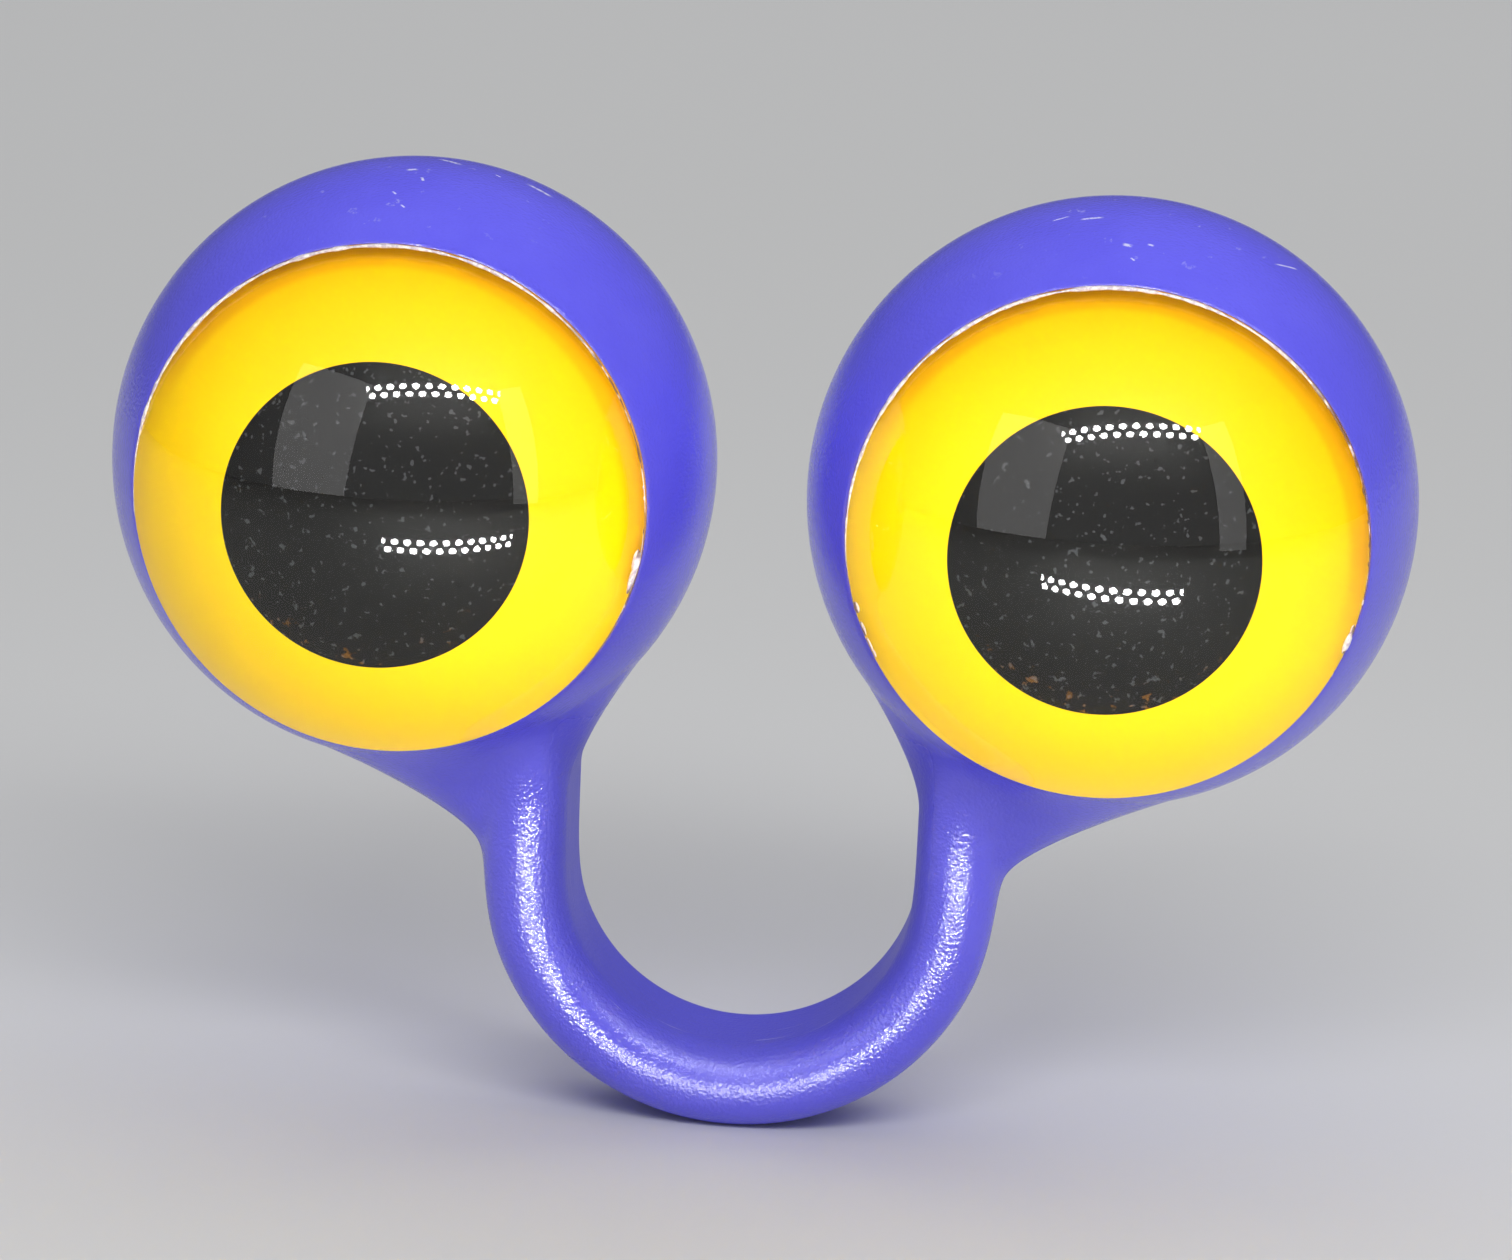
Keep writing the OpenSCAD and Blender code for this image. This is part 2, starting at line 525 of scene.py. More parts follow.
# One short scuff, as a mask that is 1 along its middle
def scuffMask(place, across, back, reachAcross, reachBack, width):
    middle = Vector((across, back, ballTop(across, back)))
    tipAcross, tipBack = across + reachAcross, back + reachBack
    tip = Vector((tipAcross, tipBack, ballTop(tipAcross, tipBack)))
    reach = (tip - middle).length
    offset = place.make("ShaderNodeVectorMath", {"operation": "SUBTRACT"}, {0: place, 1: middle})
    dot = {0: offset, 1: (tip - middle) / reach}
    along = place.make("ShaderNodeVectorMath", {"operation": "DOT_PRODUCT"}, dot, out="Value")
    far = place.make("ShaderNodeVectorMath", {"operation": "LENGTH"}, {0: offset}, out="Value")
    aside = far.maths("SQRT", far.maths("MAXIMUM", far * far - along * along, 0.0))
    coreReach, coreWidth = vinyl["scuffCore"]
    lengthwise = along.maths("ABSOLUTE", along).rise(reach + width, reach * coreReach)
    return lengthwise * aside.rise(width, width * coreWidth)


def makeVinyl():
    material, shader, place, (x, y, z) = startMaterial("violetVinyl")
    shows = vinyl["shows"]
    mottle = noise(place, vinyl["mottle"], 3.0)
    cloud = noise(place, vinyl["cloud"], 2.0)
    patches = (mottle * 0.7 + cloud * 0.3).rise(0.3, 0.7)
    colour = mixColours(patches, vinyl["violet"], vinyl["paleViolet"])
    # Scuffs with ragged edges, and faint rubbed streaks near the tops of the balls
    ragged = noise(place, vinyl["rag"], 3.0, 0.7).rise(0.30, 0.52)
    scuffed = sum(scuffMask(place, *scuff) for scuff in vinyl["scuffs"]) * ragged
    streak = noise(place, vinyl["rub"], 4.0, 0.65, vinyl["rubStretch"]).rise(0.64, 0.74)
    rubbed = streak * z.rise(*vinyl["rubHeights"])
    # Short lines round the wall of the finger opening
    below = z.maths("MINIMUM", z, 0.0)
    acrossR = x.maths("SQRT", x * x + below * below)
    turn = x.maths("ARCTAN2", z, x)
    stretched = {axis: part * vinyl["wallLines"][axis] for axis, part in enumerate((turn, y, acrossR))}
    lineSpace = place.make("ShaderNodeCombineXYZ", None, stretched)
    lines = noise(lineSpace, 1.0, 3.0, 0.6)
    inside = acrossR.rise(*vinyl["wallR"]) * z.rise(*vinyl["wallHeights"])
    scratches = lines.rise(0.66, 0.71) * inside
    # Painted shade: the wall of the finger opening, a recess, is painted a darker violet
    colour = mixColours(inside * shows["deep"], colour, vinyl["shadedWallViolet"])
    worn = scuffed * shows["scuff"] + rubbed * shows["rub"] + scratches * shows["line"]
    colour = mixColours(worn, colour, vinyl["scuff"])
    colour.feed(shader.inputs["Base Color"], colour)
    shader.inputs["Specular IOR Level"].default_value = vinyl["specular"]
    # The wall of the opening and the underside, which rub most, are duller
    dull = inside * vinyl["wallDull"] + z.rise(*vinyl["underHeights"]) * vinyl["underDull"]
    uneven = (cloud - 0.5) * vinyl["cloudRough"] + worn * vinyl["wornRough"]
    rough = vinyl["roughness"] + uneven + dull
    rough.feed(shader.inputs["Roughness"], rough)
    grain = noise(place, vinyl["grain"], 1.5, 0.5)
    height = grain + (lines - 0.5) * inside * vinyl["lineDepth"]
    height.feed(shader.inputs["Normal"], bump(height, 1.0, vinyl["grainDepth"] * mm))
    return material


# Lens, iris and pupil: profiles turned about the eye's axis by a Geometry Nodes tree
lens = {
    "around": 176,
    "domeSteps": 40,
    "rimRound": 0.05,
    "rimSteps": 4,
    "hub": 1.0,  # radius of the circle that a profile is swept round
    "sharpAngle": 30,
    "tint": (0.985, 0.985, 0.965),
    "ior": 1.44,
    "roughness": 0.012,
    "smudge": 0.5,  # smudges and dust, per millimetre, and what each adds to the roughness
    "smudgeRough": 0.03,
    "dust": 5.0,
    "dustRough": 0.12,
}
iris = {
    "wall": 0.6,
    "tuck": 0.03,  # how deep the backing sits in the clear plastic, so that no air shows between
    "rimGap": 0.18,  # clear plastic left outside the backing at the rim
    "footGap": 0.01,
    "pupilR": 7.15,
    "pupilT": 0.2,
    "pupilGap": 0.004,
    "steps": {"well": 14, "front": 30, "back": 16, "pupil": 24, "pupilBack": 12},
}


def arc(radius, fromAcross, toAcross, steps):
    angles = np.linspace(math.asin(fromAcross / radius), math.asin(toAcross / radius), steps + 1)
    return [(radius * math.sin(a), radius * math.cos(a)) for a in angles]


# Profiles as (distance from the axis, height from the dome's centre), from the front to the back
def lensProfile():
    inR = domeR - eye["lensWall"]
    inAcross = eye["lensR"] - eye["lensWall"]
    foot = seatForward - domeForward
    edge = lens["rimRound"]
    outer = arc(domeR, 0, eye["lensR"] - edge, lens["domeSteps"])
    last = outer[-1]
    corner = (eye["lensR"], math.sqrt(domeR ** 2 - eye["lensR"] ** 2))
    low = (eye["lensR"], corner[1] - edge)
    rim = []
    for step in range(1, lens["rimSteps"] + 1):
        t = step / lens["rimSteps"]
        blend = ((1 - t) ** 2, 2 * t * (1 - t), t ** 2)
        rim.append(tuple(sum(b * p[i] for b, p in zip(blend, (last, corner, low))) for i in (0, 1)))
    inner = arc(inR, inAcross, 0, lens["domeSteps"])
    return outer + rim + [(eye["lensR"], foot), (inAcross, foot)] + inner


def irisProfile():
    outR = domeR - eye["lensWall"] + iris["tuck"]
    outAcross = eye["lensR"] - iris["rimGap"]
    foot = seatForward - domeForward + iris["footGap"]
    inR, inAcross = outR - iris["wall"], outAcross - iris["wall"]
    well = iris["pupilR"] + iris["pupilGap"]
    steps = iris["steps"]
    floor = arc(outR - iris["pupilT"] - iris["pupilGap"], 0, well, steps["well"])
    front = arc(outR, well, outAcross, steps["front"])
    back = arc(inR, inAcross, 0, steps["back"])
    return floor + front + [(outAcross, foot), (inAcross, foot)] + back


def pupilProfile():
    outR = domeR - eye["lensWall"] + iris["tuck"]
    front = arc(outR, 0, iris["pupilR"], iris["steps"]["pupil"])
    return front + arc(outR - iris["pupilT"], iris["pupilR"], 0, iris["steps"]["pupilBack"])


# Starts a Geometry Nodes tree: gives the tree, its named inputs and its end
def startTree(name, inputs):
    tree = bpy.data.node_groups.new(name, "GeometryNodeTree")
    tree.interface.new_socket("Geometry", in_out="INPUT", socket_type="NodeSocketGeometry")
    for label, kind in inputs:
        tree.interface.new_socket(label, in_out="INPUT", socket_type="NodeSocket" + kind)
    tree.interface.new_socket("Geometry", in_out="OUTPUT", socket_type="NodeSocketGeometry")
    start = tree.nodes.new("NodeGroupInput")
    end = tree.nodes.new("NodeGroupOutput")
    given = {socket.name: Field(tree, socket) for socket in start.outputs if socket.name}
    return tree, given, end


def addTree(piece, tree, values):
    modifier = piece.modifiers.new(tree.name, "NODES")
    modifier.node_group = tree
    for item in tree.interface.items_tree:
        if item.in_out == "INPUT" and item.name in values:
            modifier[item.identifier] = values[item.name]


# Realize, smooth, material: the common end of the trees
def endTree(tree, shape, material, end):
    shape = shape.make("GeometryNodeRealizeInstances", None, {0: shape})
    shape = shape.make("GeometryNodeSetShadeSmooth", None, {0: shape})
    shape = shape.make("GeometryNodeSetMaterial", None, {"Geometry": shape, "Material": material})
    tree.links.new(shape.socket, end.inputs[0])


turnedInputs = [("Sides", "Int"), ("Hub", "Float"), ("Place", "Vector"), ("Finish", "Material")]


def turnedTree():
    tree, given, end = startTree("turnedShell", turnedInputs)
    profile = given["Geometry"].make("GeometryNodeMeshToCurve", None, {0: given["Geometry"]})
    circle = {"Resolution": given["Sides"], "Radius": given["Hub"]}
    path = profile.make("GeometryNodeCurvePrimitiveCircle", None, circle)
    shell = profile.make("GeometryNodeCurveToMesh", None, {"Curve": path, "Profile Curve": profile})
    shell = shell.make("GeometryNodeMergeByDistance", None, {0: shell, "Distance": weldGap * mm})
    facing = {0: shell, "Translation": given["Place"], "Rotation": (math.pi / 2, 0, 0)}
    shell = shell.make("GeometryNodeTransform", None, facing)
    endTree(tree, shell, given["Finish"], end)
    return tree


def makeTurned(tree, name, profile, side, material, node):
    hub = lens["hub"]
    points = [((across - hub) * mm, -height * mm, 0) for across, height in profile]
    mesh = bpy.data.meshes.new(name)
    mesh.from_pydata(points, [(i, i + 1) for i in range(len(points) - 1)], [])
    piece = bpy.data.objects.new(name, mesh)
    scene.collection.objects.link(piece)
    place = (side * eye["eyeX"] * mm, -domeForward * mm, lensZ * mm)
    values = {"Sides": lens["around"], "Hub": hub * mm, "Place": place, "Finish": material}
    addTree(piece, tree, values)
    bakeModifiers(piece)
    tidyMesh(piece.data)
    smoothMesh(piece.data, lens["sharpAngle"])
    finishPiece(piece, material, node)


def makeClear():
    material, shader, place = startMaterial("clearLensPlastic")[:3]
    smudge = noise(place, lens["smudge"], 3.0, 0.6).rise(0.45, 0.8)
    dust = noise(place, lens["dust"], 1.0).rise(0.74, 0.80)
    shader.inputs["Base Color"].default_value = rgba(lens["tint"])
    shader.inputs["Transmission Weight"].default_value = 1.0
    shader.inputs["IOR"].default_value = lens["ior"]
    rough = lens["roughness"] + smudge * lens["smudgeRough"] + dust * lens["dustRough"]
    rough.feed(shader.inputs["Roughness"], rough)
    # Lamps reach the colours behind the plastic
    tree = material.node_tree
    output = [node for node in tree.nodes if node.type == "OUTPUT_MATERIAL"][0]
    shadow = place.make("ShaderNodeLightPath", out="Is Shadow Ray")
    through = place.make("ShaderNodeBsdfTransparent")
    glass = Field(tree, shader.outputs[0])
    both = shadow.make("ShaderNodeMixShader", None, {0: shadow, 1: glass, 2: through})
    tree.links.new(both.socket, output.inputs["Surface"])
    return material


# Distance from the nearer eye's axis, in millimetres
def fromAxis(x, z):
    across = x.maths("ABSOLUTE", x) - eye["eyeX"]
    up = z - lensZ
    return x.maths("SQRT", across * across + up * up)


# How far a place lies from the nearer eye's axis towards one side, given across and up
def towardsSide(x, z, side):
    across = x - x.maths("SIGN", x) * eye["eyeX"]
    return across * side[0] + (z - lensZ) * side[1]


irisPaint = {
    "yellow": (0.97, 0.64, 0.001),
    "amber": (0.85, 0.43, 0.001),
    "shadedSide": (0.35, 0.94),  # painted shade: the yellow is painted darker towards this side of each eye
    "sideShade": 0.52,
    "rimShadeRise": (10.8, 11.4),  # a band of painted shade inside the rim, by distance from the eye's axis
    "rimShadeFall": (12.1, 11.7),
    "rimShadeShow": 0.9,
    "cloud": 0.25,  # per millimetre
    "cloudShow": 0.15,
    "cloudRough": 0.1,
    "grain": 3.0,  # per millimetre
    "grainStrength": 0.08,
    "grainDepth": 0.03,
    "roughness": 0.35,
}
pupilPaint = {
    "black": (0.0065, 0.0062, 0.0056),
    "brown": (0.22, 0.095, 0.012),
    "dust": (0.16, 0.17, 0.18),
    "fleck": 1.7,  # brown flecks along the lower edge, per millimetre
    "fleckR": (5.6, 6.9),
    "fleckDrop": (3.0, 6.2),
    "fleckShow": 0.75,
    "speck": 3.4,  # specks of dust, per millimetre
    "speckShow": 0.3,
    "cloud": 0.8,  # per millimetre
    "cloudRough": 0.1,
    "roughness": 0.3,
}
paintGloss = 0.06  # low, because the paint lies against the clear plastic


def makeYellow():
    material, shader, place, (x, _, z) = startMaterial("yellowIrisPaint")
    radius = fromAxis(x, z)
    cloud = noise(place, irisPaint["cloud"], 3.0)
    towards = towardsSide(x, z, irisPaint["shadedSide"]) / radius
    # Painted shade: a band inside the rim is painted amber, as the lip's shadow, mostly on the shaded
    # side
    band = radius.rise(*irisPaint["rimShadeRise"]) * radius.rise(*irisPaint["rimShadeFall"])
    amount = band * towards.rise(-0.3, 0.7) * irisPaint["rimShadeShow"]
    # Painted shade: the yellow is painted amber towards one side of each eye
    amount = amount + towards.rise(-0.4, 1.0) * irisPaint["sideShade"]
    amount = amount + (cloud - 0.5) * irisPaint["cloudShow"]
    colour = mixColours(amount.rise(0.0, 1.0), irisPaint["yellow"], irisPaint["amber"])
    colour.feed(shader.inputs["Base Color"], colour)
    shader.inputs["Specular IOR Level"].default_value = paintGloss
    rough = irisPaint["roughness"] + (cloud - 0.5) * irisPaint["cloudRough"]
    rough.feed(shader.inputs["Roughness"], rough)
    grain = noise(place, irisPaint["grain"], 2.0)
    raised = bump(grain, irisPaint["grainStrength"], irisPaint["grainDepth"] * mm)
    raised.feed(shader.inputs["Normal"], raised)
    return material


def makeBlack():
    material, shader, place, (x, _, z) = startMaterial("blackPupilPaint")
    flecks = noise(place, pupilPaint["fleck"], 3.0, 0.6).rise(0.60, 0.68)
    lowEdge = fromAxis(x, z).rise(*pupilPaint["fleckR"]) * (lensZ - z).rise(*pupilPaint["fleckDrop"])
    browned = flecks * lowEdge * pupilPaint["fleckShow"]
    colour = mixColours(browned, pupilPaint["black"], pupilPaint["brown"])
    specks = noise(place, pupilPaint["speck"], 1.0).rise(0.65, 0.71)
    colour = mixColours(specks * pupilPaint["speckShow"], colour, pupilPaint["dust"])
    colour.feed(shader.inputs["Base Color"], colour)
    cloud = noise(place, pupilPaint["cloud"], 2.0)
    shader.inputs["Specular IOR Level"].default_value = paintGloss
    rough = pupilPaint["roughness"] + (cloud - 0.5) * pupilPaint["cloudRough"]
    rough.feed(shader.inputs["Roughness"], rough)
    return material


# Cement left round the lens rims: an uneven bead in the groove, and flecks along it
cement = {
    "across": 12.44,
    "sink": 0.08,  # how far the bead's middle lies below the lip
    "bead": 0.11,
    "beadSides": 8,
    "beadSteps": 420,
    "thickSide": (-0.45, 0.90),  # the bead is thickest and free of painted shade on this side of each eye
    "thinShare": 0.42,  # the bead's least thickness, as a share of the most
    "lump": 0.9,  # lumps in it, per millimetre, and their least and added size
    "lumpShares": (0.35, 0.9),
    "slide": 0.6,  # how far a fleck strays along the rim
    "chipLeast": (0.35, 0.35, 0.7),  # stretch of a fleck, least and most
    "chipMost": (0.85, 0.75, 2.0),
    "pale": (0.80, 0.74, 0.74),
    "rosy": (0.52, 0.43, 0.51),
    # painted shade of the gap between the lens and the lip, on the bead's thin side
    "gapShade": (0.16, 0.075, 0.045),
    "unshadedFrom": (1.0, 6.0),  # how far towards the thick side the painted shade ends
    "fleckR": (12.34, 12.22),  # flecks that reach in past this are free of painted shade as well
    "cloud": 4.0,  # rosy clouds and stretches without painted shade, per millimetre
    "cloudRough": 0.15,
    "stretch": 0.9,
    "roughness": 0.22,
    "seed": 7,
    "sideSeed": 5,  # added on the right side
    "runSeed": 10,  # added for each run of flecks
    "runs": {  # side: start angle, sweep, count, size and distance from the eye's axis
        "left": [
            (-30, 38, 7, 0.12, 12.42),
            (150, 60, 9, 0.08, 12.44),
            (40, 90, 10, 0.06, 12.44),
            (-16, 8, 4, 0.32, 12.28),
        ],
        "right": [
            (-35, 70, 12, 0.12, 12.42),
            (60, 90, 10, 0.06, 12.44),
            (199, 9, 4, 0.34, 12.28),
            (-21, 7, 3, 0.32, 12.28),
        ],
    },
}
rimInputs = [("Rim Radius", "Float"), ("Ball Radius", "Float"), ("Drop", "Float")]
rimInputs += [("Sink", "Float"), ("Seed", "Int")]
rimInputs += [("Place", "Vector"), ("Finish", "Material")]
beadInputs = rimInputs + [("Steps", "Int"), ("Sides", "Int"), ("Bead", "Float")]
beadInputs += [("Thick Side", "Vector")]
fleckInputs = rimInputs + [("Start", "Float"), ("Sweep", "Float"), ("Count", "Int")]
fleckInputs += [("Size", "Float")]


def rimValues(side, material):
    return {
        "Rim Radius": cement["across"] * mm,
        "Ball Radius": eye["ballR"] * mm,
        "Drop": eye["lensDrop"] * mm,
        "Sink": cement["sink"] * mm,
        "Seed": cement["seed"] + (cement["sideSeed"] if side > 0 else 0),
        "Place": (side * eye["eyeX"] * mm, 0, lensZ * mm),
        "Finish": material,
    }


# Lays flat rim points into the groove between the lens and the lip, which the ball's skin sets
def intoGroove(shape, given, where):
    x, y, z = [where.make("ShaderNodeSeparateXYZ", None, {0: where}, out=axis) for axis in range(3)]
    low = y - given["Drop"]
    depth = given["Ball Radius"] * given["Ball Radius"] - x * x - low * low
    forward = x.maths("SQRT", depth) - given["Sink"]
    laid = x.make("ShaderNodeCombineXYZ", None, {0: x, 1: y, 2: forward})
    return shape.make("GeometryNodeSetPosition", None, {0: shape, "Position": laid})


# Turns what was made lying flat to look out of the eye
def faceFront(shape, given):
    facing = {0: shape, "Translation": given["Place"], "Rotation": (math.pi / 2, 0, 0)}
    return shape.make("GeometryNodeTransform", None, facing)


def beadTree():
    tree, given, end = startTree("rimBead", beadInputs)
    first = given["Seed"]
    circle = {"Resolution": given["Steps"], "Radius": given["Rim Radius"]}
    path = first.make("GeometryNodeCurvePrimitiveCircle", None, circle)
    where = first.make("GeometryNodeInputPosition")
    path = intoGroove(path, given, where)
    lumps = {"Vector": where, "W": given["Seed"], "Scale": cement["lump"] / mm, "Detail": 2.0}
    lumps = first.make("ShaderNodeTexNoise", {"noise_dimensions": "4D"}, lumps)
    outward = first.make("ShaderNodeVectorMath", {"operation": "NORMALIZE"}, {0: where})
    dot = {0: outward, 1: given["Thick Side"]}
    towards = first.make("ShaderNodeVectorMath", {"operation": "DOT_PRODUCT"}, dot, out="Value")
    thin = cement["thinShare"]
    least, added = cement["lumpShares"]
    scale = (thin + towards.rise(-0.2, 0.7) * (1 - thin)) * (least + lumps.rise(0.3, 0.75) * added)
    circle = {"Resolution": given["Sides"], "Radius": given["Bead"]}
    section = first.make("GeometryNodeCurvePrimitiveCircle", None, circle)
    sweep = {"Curve": path, "Profile Curve": section, "Scale": scale}
    bead = first.make("GeometryNodeCurveToMesh", None, sweep)
    endTree(tree, faceFront(bead, given), given["Finish"], end)
    return tree


def fleckTree():
    tree, given, end = startTree("rimFlecks", fleckInputs)
    first = given["Seed"]
    arcSockets = {"Resolution": given["Count"], "Radius": given["Rim Radius"]}
    arcSockets |= {"Start Angle": given["Start"], "Sweep Angle": given["Sweep"]}
    path = first.make("GeometryNodeCurveArc", None, arcSockets)
    points = first.make("GeometryNodeCurveToPoints", {"mode": "EVALUATED"}, {0: path})
    lying = Field(tree, points.socket.node.outputs["Rotation"])
    wander = {"data_type": "FLOAT_VECTOR"}
    stray = cement["slide"] * mm
    slide = {0: (-stray, -stray, 0), 1: (stray, stray, 0), "Seed": given["Seed"]}
    slide = first.make("FunctionNodeRandomValue", wander, slide)
    stretch = {0: cement["chipLeast"], 1: cement["chipMost"], "Seed": given["Seed"] + 1}
    stretch = first.make("FunctionNodeRandomValue", wander, stretch)
    # Points slide along the rim, but stay at its radius
    where = first.make("GeometryNodeInputPosition")
    where = first.make("ShaderNodeVectorMath", {"operation": "ADD"}, {0: where, 1: slide})
    where = first.make("ShaderNodeVectorMath", {"operation": "NORMALIZE"}, {0: where})
    onRim = {0: where, "Scale": given["Rim Radius"]}
    where = first.make("ShaderNodeVectorMath", {"operation": "SCALE"}, onRim)
    points = intoGroove(points, given, where)
    chip = first.make("GeometryNodeMeshIcoSphere", None, {"Radius": given["Size"], "Subdivisions": 2})
    instances = {"Points": points, "Instance": chip, "Rotation": lying, "Scale": stretch}
    chips = first.make("GeometryNodeInstanceOnPoints", None, instances)
    endTree(tree, faceFront(chips, given), given["Finish"], end)
    return tree


# Runs a tree on an empty mesh and adds what it makes to a bmesh
def addMade(shapes, tree, values):
    work = bpy.data.objects.new("rimWork", bpy.data.meshes.new("rimWork"))
    scene.collection.objects.link(work)
    addTree(work, tree, values)
    bakeModifiers(work)
    shapes.from_mesh(work.data)
    bpy.data.objects.remove(work)


def makeCement(beads, chips, name, side, material):
    shapes = bmesh.new()
    values = rimValues(side, material)
    beadValues = {"Steps": cement["beadSteps"], "Sides": cement["beadSides"]}
    beadValues |= {"Bead": cement["bead"] * mm, "Thick Side": (*cement["thickSide"], 0)}
    addMade(shapes, beads, values | beadValues)
    for order, (start, sweep, count, size, across) in enumerate(cement["runs"][name]):
        chipValues = {"Start": math.radians(start), "Sweep": math.radians(sweep), "Count": count}
        chipValues |= {"Size": size * mm, "Rim Radius": across * mm}
        chipValues["Seed"] = values["Seed"] + cement["runSeed"] * order
        addMade(shapes, chips, values | chipValues)
    mesh = bpy.data.meshes.new(name + "RimCement")
    bmesh.ops.recalc_face_normals(shapes, faces=shapes.faces)
    shapes.to_mesh(mesh)
    shapes.free()
    piece = bpy.data.objects.new(name + "RimCement", mesh)
    scene.collection.objects.link(piece)
    mesh.shade_smooth()
    finishPiece(piece, material)


def makeCementFinish():
    material, shader, place, (x, _, z) = startMaterial("paleCement")
    cloud = noise(place, cement["cloud"], 2.0)
    pale = mixColours(cloud.rise(0.35, 0.65), cement["pale"], cement["rosy"])
    # Painted shade: where the bead is thin, it is painted dark brown, as the shade of the gap beside
    # the lens
    unshaded = towardsSide(x, z, cement["thickSide"]).rise(*cement["unshadedFrom"])
    stretches = noise(place, cement["stretch"], 1.0).rise(0.50, 0.60)
    unshaded = unshaded.maths("MAXIMUM", unshaded, stretches)
    unshaded = unshaded.maths("MAXIMUM", unshaded, fromAxis(x, z).rise(*cement["fleckR"]))
    colour = mixColours(unshaded, cement["gapShade"], pale)
    colour.feed(shader.inputs["Base Color"], colour)
    rough = cement["roughness"] + cloud * cement["cloudRough"]
    rough.feed(shader.inputs["Roughness"], rough)
    return material


makeRing(makeVinyl())
turned = turnedTree()
clear, yellow, black = makeClear(), makeYellow(), makeBlack()
for name, side in sides.items():
    makeTurned(turned, name + "Lens", lensProfile(), side, clear, name + "_lens")
    makeTurned(turned, name + "Iris", irisProfile(), side, yellow, name + "_iris")
    makeTurned(turned, name + "Pupil", pupilProfile(), side, black, name + "_pupil")
print("eyes turned")

beadShape, fleckShape, cementFinish = beadTree(), fleckTree(), makeCementFinish()
for name, side in sides.items():
    makeCement(beadShape, fleckShape, name, side, cementFinish)
print("rim cement laid")


# Floor, world and lamps
stageSet = {"floorSize": 4000.0, "floor": (0.69, 0.69, 0.685), "roughness": 0.8, "specular": 0.2}


def makeFloor():
    half = stageSet["floorSize"] / 2
    low = cadBox[0][2] / mm
    corners = [(-half, -half, low), (half, -half, low), (half, half, low), (-half, half, low)]
    mesh = bpy.data.meshes.new("floor")
    mesh.from_pydata((np.array(corners) * mm).tolist(), [], [(0, 1, 2, 3)])
    floor = bpy.data.objects.new("floor", mesh)
    scene.collection.objects.link(floor)
    material, shader = startMaterial("paleFloor")[:2]
    shader.inputs["Base Color"].default_value = rgba(stageSet["floor"])
    shader.inputs["Roughness"].default_value = stageSet["roughness"]
    shader.inputs["Specular IOR Level"].default_value = stageSet["specular"]
    mesh.materials.append(material)


# Lamps: azimuth and elevation from the eyes, distance, size across and up (mm), and glow. A bar is
# two staggered rows of small lights
lamps = {
    "upperPanel": (12.0, 40.0, 270.0, (240.0, 70.0), 7.5),
    "upperBar": (12.0, 40.0, 260.0, (230.0, 27.0), 14.0),
    "lowerPanel": (8.0, -14.0, 260.0, (230.0, 34.0), 30.0),
    "eyeBar": (12.0, -17.0, 92.0, (80.0, 9.5), 15.0),
    "leftPanel": (-33.0, 20.0, 330.0, (170.0, 250.0), 1.5),
    "rightPanel": (48.0, 18.0, 330.0, (60.0, 250.0), 1.4),
    "topPanel": (172.0, 62.0, 900.0, (1500.0, 1500.0), 0.95),
}
barRow = {
    "lights": 11,
    "squeeze": 1.28,  # sets how round the spots are
    "spot": 0.37,
    "soft": 0.05,
    "between": 0.02,
    "spotGlow": 4.0,
}
evenLamps = ("upperPanel", "topPanel")
highlightLamps = ("upperBar", "leftPanel", "lowerPanel")


# Splits a bar's light into two rows of round spots, over its own surface from 0 to 1
def addSpots(data):
    data.use_nodes = True
    tree = data.node_tree
    emission = [node for node in tree.nodes if node.type == "EMISSION"][0]
    where = Field(tree).make("ShaderNodeNewGeometry", out="Parametric")
    along, up = [where.make("ShaderNodeSeparateXYZ", None, {0: where}, out=axis) for axis in range(2)]
    row = up.maths("FLOOR", up * 2)
    acrossSpot = (up.maths("FRACT", along * barRow["lights"] + row * 0.5) - 0.5) * barRow["squeeze"]
    upSpot = up.maths("FRACT", up * 2) - 0.5
    away = up.maths("SQRT", acrossSpot * acrossSpot + upSpot * upSpot)
    spot = away.rise(barRow["spot"] + barRow["soft"], barRow["spot"] - barRow["soft"])
    glow = barRow["between"] + spot * barRow["spotGlow"]
    glow.feed(emission.inputs["Strength"], glow)


def pieceSet(name, pieces):
    chosen = bpy.data.collections.new(name)
    for piece in pieces:
        chosen.objects.link(piece)
    return chosen


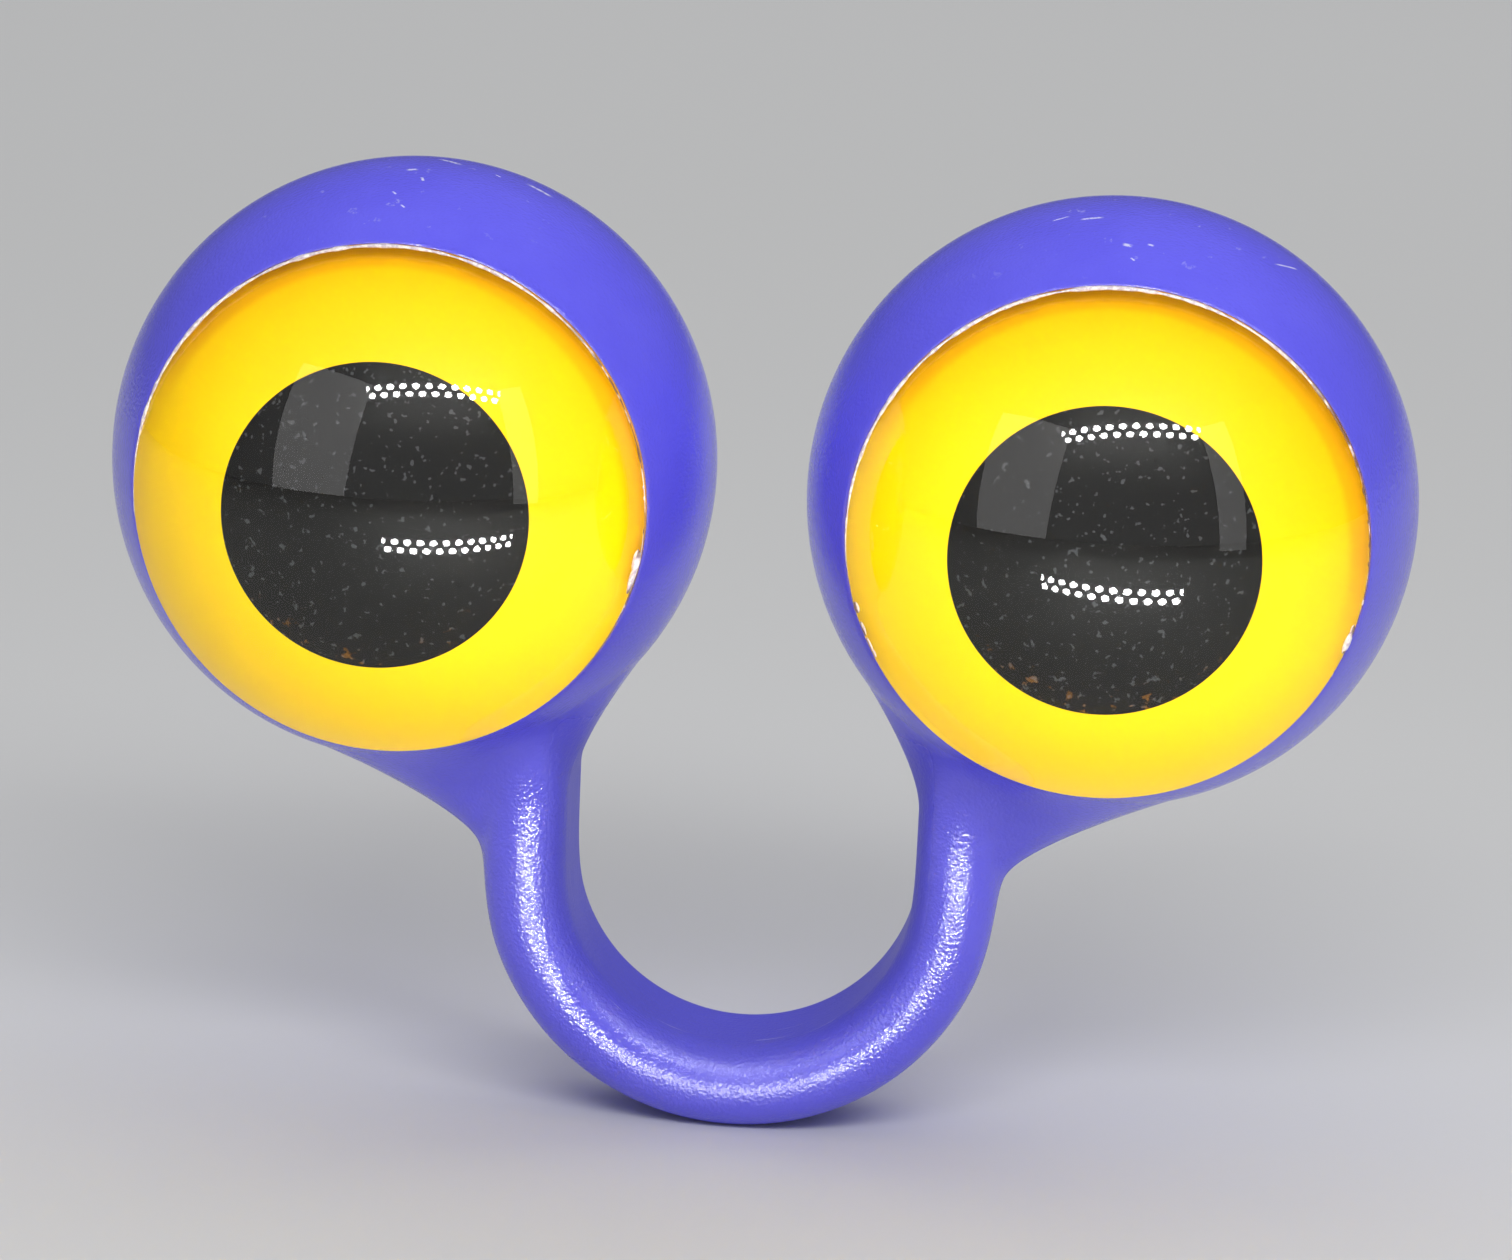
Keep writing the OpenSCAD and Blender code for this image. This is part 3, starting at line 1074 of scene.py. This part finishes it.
def makeLamps():
    centre = Vector((0, 0, eye["eyeZ"]))
    made = {}
    for name, (azimuth, elevation, distance, size, glow) in lamps.items():
        data = bpy.data.lights.new(name, "AREA")
        data.shape = "RECTANGLE"
        data.size, data.size_y = (value * mm for value in size)
        data.energy = glow * math.pi * data.size * data.size_y
        if name.endswith("Bar"):
            addSpots(data)
        lamp = bpy.data.objects.new(name, data)
        scene.collection.objects.link(lamp)
        towards = direction(azimuth, elevation)
        turn = towards.to_track_quat("Z", "Y").to_matrix().to_4x4()
        lamp.matrix_world = Matrix.Translation((centre + distance * towards) * mm) @ turn
        lamp.visible_camera = False
        made[name] = lamp
    # Some lamps give an even light and no highlights, others only highlights, none of it on the floor
    pieces = [piece for piece in scene.objects if piece.type == "MESH" and piece.name != "floor"]
    skins = [piece for piece in pieces if piece.name.endswith("Skin")]
    eyes = [piece for piece in pieces if piece not in skins]
    for name in evenLamps:
        made[name].visible_glossy = False
    for name in highlightLamps:
        made[name].visible_diffuse = False
    litOnly = {"upperBar": pieces, "leftPanel": pieces, "lowerPanel": skins, "eyeBar": eyes}
    for name, lit in litOnly.items():
        made[name].light_linking.receiver_collection = pieceSet(name + "Lit", lit)
    # The lower panel stands below the floor, which doesn't shade it
    lower = made["lowerPanel"]
    lower.data.cycles.use_multiple_importance_sampling = False
    lower.data.cycles.max_bounces = 0
    lower.light_linking.blocker_collection = pieceSet("lowerPanelShade", pieces)


# Even studio light, dimmer behind the object than on the camera's side
skySet = {"colour": (0.93, 0.95, 1.0), "front": 0.42, "back": 0.13, "turn": (-0.75, 0.2)}


def makeWorld():
    world = bpy.data.worlds.new("studio")
    world.use_nodes = True
    tree = world.node_tree
    background = tree.nodes["Background"]
    background.inputs["Color"].default_value = rgba(skySet["colour"])
    where = Field(tree).make("ShaderNodeTexCoord", out="Generated")
    depth = where.make("ShaderNodeSeparateXYZ", None, {0: where}, out=1)
    glow = skySet["front"] + depth.rise(*skySet["turn"]) * (skySet["back"] - skySet["front"])
    glow.feed(background.inputs["Strength"], glow)
    scene.world = world


makeFloor()
makeLamps()
makeWorld()
scene.view_settings.view_transform = "Standard"
print("stage set")
